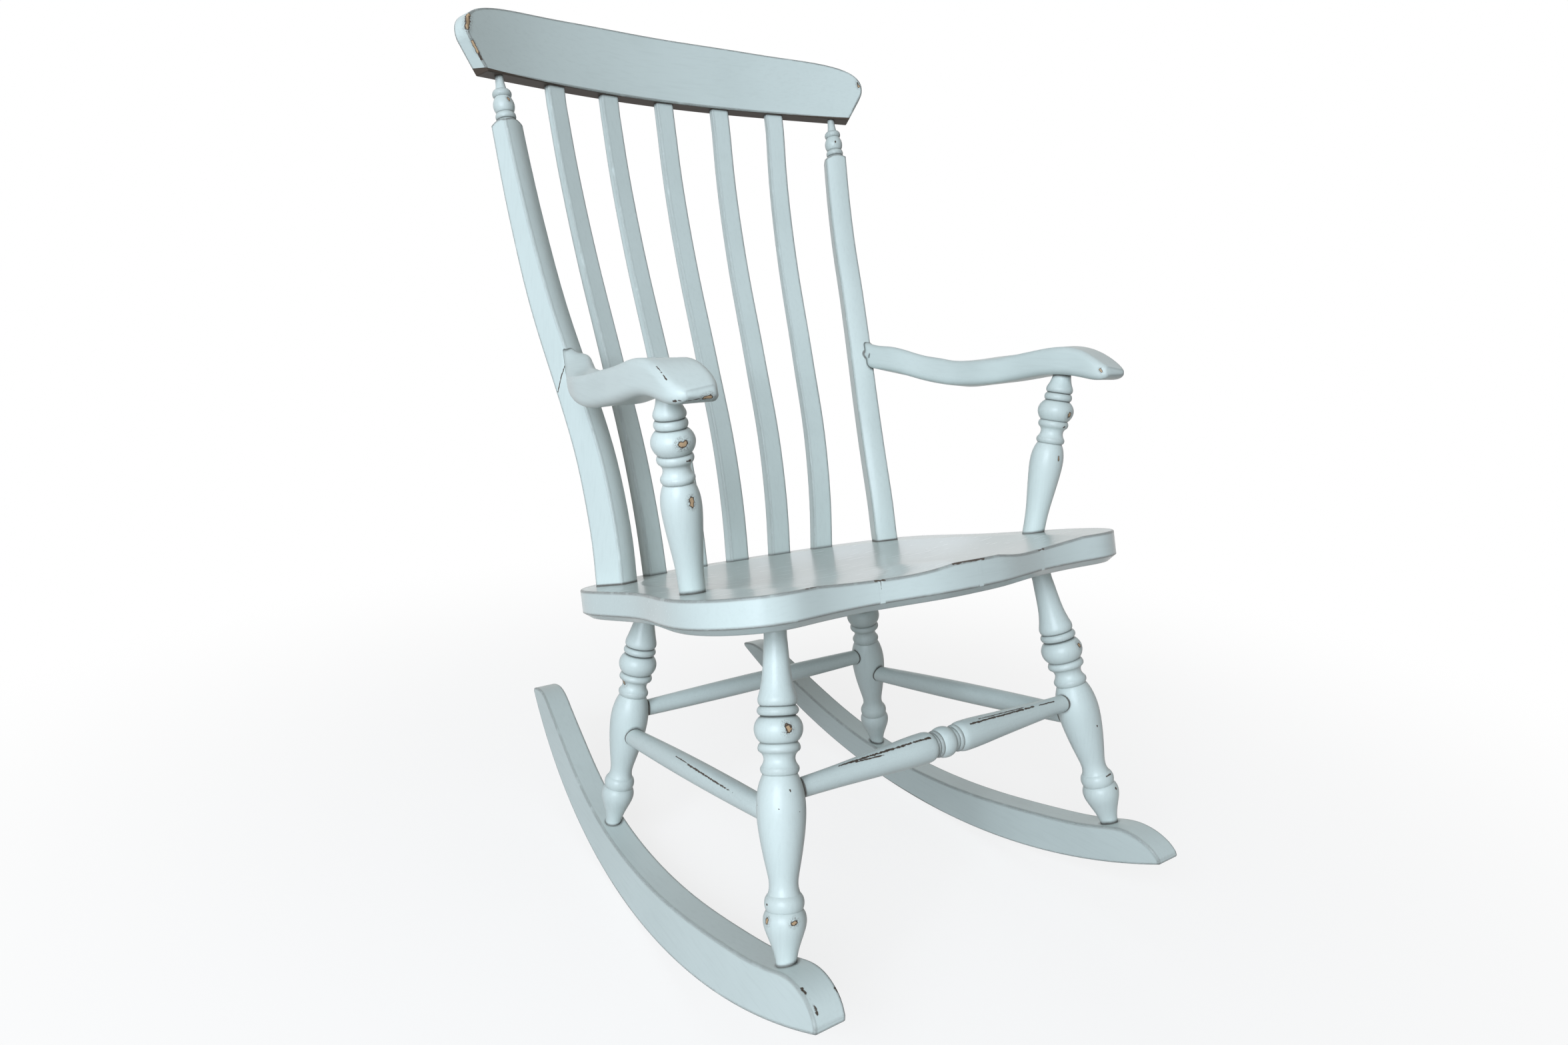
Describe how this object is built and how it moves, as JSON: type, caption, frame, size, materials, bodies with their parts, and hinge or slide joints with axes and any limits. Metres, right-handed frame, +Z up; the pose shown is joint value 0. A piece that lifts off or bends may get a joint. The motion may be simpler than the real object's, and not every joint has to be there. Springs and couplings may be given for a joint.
{
  "type": "rocking chair",
  "caption": "Slat-back wooden rocking chair with arms, turned legs and posts, a thick saddle seat and long curved rockers, in worn pale green-grey paint.",
  "frame": {"origin": "centre of the chair's outline on the floor, at the foot of the rockers as it stands at rest", "axes": "+Z up, the chair faces -Y, +X to the right of somebody who looks at its front; the chair stands at the tilt at which it comes to rest"},
  "size_m": [0.6514, 0.8682, 1.1357],
  "materials": {
    "painted_wood": "satin paint, pale green-grey, rubbed and chipped on the edges",
    "bare_wood": "bare",
    "steel": "plain"
  },
  "bodies": {
    "root": {"crest_rail": "painted_wood", "front_stretcher": "painted_wood", "rear_stretcher": "painted_wood", "rocker_plugs": "painted_wood", "seat_board_1": "painted_wood", "seat_board_2": "painted_wood", "seat_board_3": "painted_wood", "seat_board_4": "painted_wood", "back_slat_1": "painted_wood", "back_slat_2": "painted_wood", "back_slat_3": "painted_wood", "back_slat_4": "painted_wood", "back_slat_5": "painted_wood", "front_leg_left": "painted_wood", "front_leg_right": "painted_wood", "rear_leg_left": "painted_wood", "rear_leg_right": "painted_wood", "side_stretcher_left": "painted_wood", "side_stretcher_right": "painted_wood", "rocker_left": "painted_wood", "rocker_right": "painted_wood", "arm_post_left": "painted_wood", "arm_post_right": "painted_wood", "arm_left": "painted_wood", "arm_right": "painted_wood", "back_post_left": "painted_wood", "back_post_right": "painted_wood", "seat_dowels": "bare_wood", "rocker_screws": "steel"}
  },
  "joints": []
}
